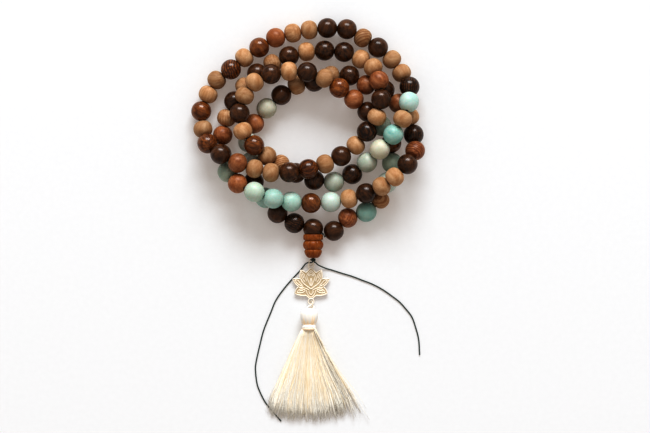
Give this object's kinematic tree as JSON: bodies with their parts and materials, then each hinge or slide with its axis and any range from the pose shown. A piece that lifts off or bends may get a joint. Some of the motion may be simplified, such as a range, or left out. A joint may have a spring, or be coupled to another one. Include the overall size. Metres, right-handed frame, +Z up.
{
  "type": "bead strand with tassel",
  "caption": "Closed strand of round wood and stone beads in loose laps, with a carved guru bead, a lotus charm, a silk tassel and two loose thread ends.",
  "frame": {"origin": "on the surface the strand lies on, under the middle of everything but the loose thread ends", "axes": "+Y from the tassel towards the strand, along the longest side; +Z up from the surface"},
  "size_m": [0.0932, 0.1618, 0.0176],
  "materials": {
    "sandalwood": "matte",
    "ebony": "polished",
    "rosewood": "polished",
    "redwood": "satin",
    "amazonite": "matte",
    "guru_wood": "satin",
    "thread": "matte",
    "silver": "satin",
    "silk": "satin"
  },
  "bodies": {
    "strand": {"strand_thread": "thread", "beads_001_to_002": "ebony", "bead_004": "sandalwood", "bead_007": "rosewood", "beads_009_to_012": "ebony", "beads_013_to_016": "ebony", "beads_017_to_020": "sandalwood", "beads_021_to_024": "sandalwood", "bead_026": "ebony", "bead_030": "sandalwood", "beads_032_to_035": "ebony", "beads_036_to_039": "sandalwood", "beads_040_to_043": "sandalwood", "beads_044_to_047": "rosewood", "beads_048_to_051": "sandalwood", "beads_052_to_055": "sandalwood", "beads_056_to_059": "sandalwood", "beads_060_to_063": "sandalwood", "beads_064_to_067": "sandalwood", "beads_068_to_071": "ebony", "beads_072_to_075": "ebony", "bead_077": "redwood", "bead_081": "rosewood", "beads_083_to_086": "sandalwood", "beads_087_to_090": "ebony", "beads_091_to_094": "redwood", "beads_095_to_098": "sandalwood", "bead_100": "redwood", "bead_103": "ebony", "beads_105_to_107": "ebony", "guru_knot": "thread", "thread_tail_left": "thread", "thread_tail_right": "thread"},
    "guru": {"guru_bead": "guru_wood"},
    "stone_003": {"bead_003": "amazonite"},
    "stone_005": {"bead_005": "amazonite"},
    "stone_006": {"bead_006": "amazonite"},
    "stone_008": {"bead_008": "amazonite"},
    "stone_025": {"bead_025": "amazonite"},
    "stone_027": {"bead_027": "amazonite"},
    "stone_028": {"bead_028": "amazonite"},
    "stone_029": {"bead_029": "amazonite"},
    "stone_031": {"bead_031": "amazonite"},
    "stone_076": {"bead_076": "amazonite"},
    "stone_078": {"bead_078": "amazonite"},
    "stone_079": {"bead_079": "amazonite"},
    "stone_080": {"bead_080": "amazonite"},
    "stone_082": {"bead_082": "amazonite"},
    "stone_099": {"bead_099": "amazonite"},
    "stone_101": {"bead_101": "amazonite"},
    "stone_102": {"bead_102": "amazonite"},
    "stone_104": {"bead_104": "amazonite"},
    "upper_ring": {"upper_jump_ring": "silver"},
    "charm": {"lotus_charm": "silver"},
    "lower_ring": {"lower_jump_ring": "silver"},
    "tassel": {"tassel_head": "silk", "tassel_neck_wrap": "silk", "tassel_loop": "silk", "tassel_skirt": "silk"}
  },
  "joints": [
    {"name": "guru_turn", "type": "hinge", "parent": "strand", "child": "guru", "pos_m": [0.00206, -0.01513, 0.0041], "axis": [0, 1, 0], "range_deg": [-90, 90]},
    {"name": "spin_003", "type": "hinge", "parent": "strand", "child": "stone_003", "pos_m": [0.02332, 0.00337, 0.004], "axis": [0.8666, 0.4988, -0.0134], "continuous": true},
    {"name": "spin_005", "type": "hinge", "parent": "strand", "child": "stone_005", "pos_m": [0.03165, 0.01513, 0.004], "axis": [0.3146, 0.9491, 0.0181], "continuous": true},
    {"name": "spin_006", "type": "hinge", "parent": "strand", "child": "stone_006", "pos_m": [0.03361, 0.02294, 0.004], "axis": [0.105, 0.9945, 0], "continuous": true},
    {"name": "spin_008", "type": "hinge", "parent": "strand", "child": "stone_008", "pos_m": [0.02935, 0.03776, 0.004], "axis": [-0.6071, 0.7941, 0.0305], "continuous": true},
    {"name": "spin_025", "type": "hinge", "parent": "strand", "child": "stone_025", "pos_m": [0.01036, 0.01537, 0.004], "axis": [0.9886, 0.1506, -0.0001], "continuous": true},
    {"name": "spin_027", "type": "hinge", "parent": "strand", "child": "stone_027", "pos_m": [0.02357, 0.02315, 0.00648], "axis": [0.6846, 0.613, 0.3944], "continuous": true},
    {"name": "spin_028", "type": "hinge", "parent": "strand", "child": "stone_028", "pos_m": [0.02858, 0.0282, 0.01028], "axis": [0.6471, 0.6825, 0.3399], "continuous": true},
    {"name": "spin_029", "type": "hinge", "parent": "strand", "child": "stone_029", "pos_m": [0.03389, 0.03403, 0.0119], "axis": [0.5859, 0.7805, 0.2182], "continuous": true},
    {"name": "spin_031", "type": "hinge", "parent": "strand", "child": "stone_031", "pos_m": [0.04008, 0.04695, 0.012], "axis": [0.1957, 0.8802, -0.4325], "continuous": true},
    {"name": "spin_076", "type": "hinge", "parent": "strand", "child": "stone_076", "pos_m": [-0.03203, 0.01924, 0.00632], "axis": [0.4395, -0.7706, 0.4615], "continuous": true},
    {"name": "spin_078", "type": "hinge", "parent": "strand", "child": "stone_078", "pos_m": [-0.02123, 0.01127, 0.01322], "axis": [0.9193, -0.3914, 0.0418], "continuous": true},
    {"name": "spin_079", "type": "hinge", "parent": "strand", "child": "stone_079", "pos_m": [-0.01377, 0.00862, 0.01168], "axis": [0.9178, -0.2427, -0.3142], "continuous": true},
    {"name": "spin_080", "type": "hinge", "parent": "strand", "child": "stone_080", "pos_m": [-0.0066, 0.0074, 0.00821], "axis": [0.947, -0.1115, -0.3013], "continuous": true},
    {"name": "spin_082", "type": "hinge", "parent": "strand", "child": "stone_082", "pos_m": [0.00914, 0.00726, 0.00676], "axis": [0.9929, 0.1131, 0.0363], "continuous": true},
    {"name": "spin_099", "type": "hinge", "parent": "strand", "child": "stone_099", "pos_m": [-0.01657, 0.04475, 0.004], "axis": [-0.6892, -0.7246, -0.0057], "continuous": true},
    {"name": "spin_101", "type": "hinge", "parent": "strand", "child": "stone_101", "pos_m": [-0.02398, 0.03135, 0.004], "axis": [-0.0773, -0.997, 0.0052], "continuous": true},
    {"name": "spin_102", "type": "hinge", "parent": "strand", "child": "stone_102", "pos_m": [-0.02266, 0.02339, 0.004], "axis": [0.1426, -0.9898, 0], "continuous": true},
    {"name": "spin_104", "type": "hinge", "parent": "strand", "child": "stone_104", "pos_m": [-0.01717, 0.00899, 0.004], "axis": [0.599, -0.8008, 0], "continuous": true},
    {"name": "pendant_lift", "type": "hinge", "parent": "strand", "child": "upper_ring", "pos_m": [0.001, -0.01695, 0.0024], "axis": [-1, 0, 0], "range_deg": [0, 90]},
    {"name": "charm_swing", "type": "hinge", "parent": "upper_ring", "child": "charm", "pos_m": [0.0012, -0.0183, 0.0012], "axis": [0, 0, 1], "range_deg": [0, 8]},
    {"name": "lower_ring_lift", "type": "hinge", "parent": "charm", "child": "lower_ring", "pos_m": [0.0012, -0.0325, 0.0012], "axis": [-1, 0, 0], "range_deg": [0, 15]},
    {"name": "tassel_swing", "type": "hinge", "parent": "lower_ring", "child": "tassel", "pos_m": [0.0015, -0.0346, 0.0029], "axis": [0, 0, 1], "range_deg": [0, 15]}
  ]
}
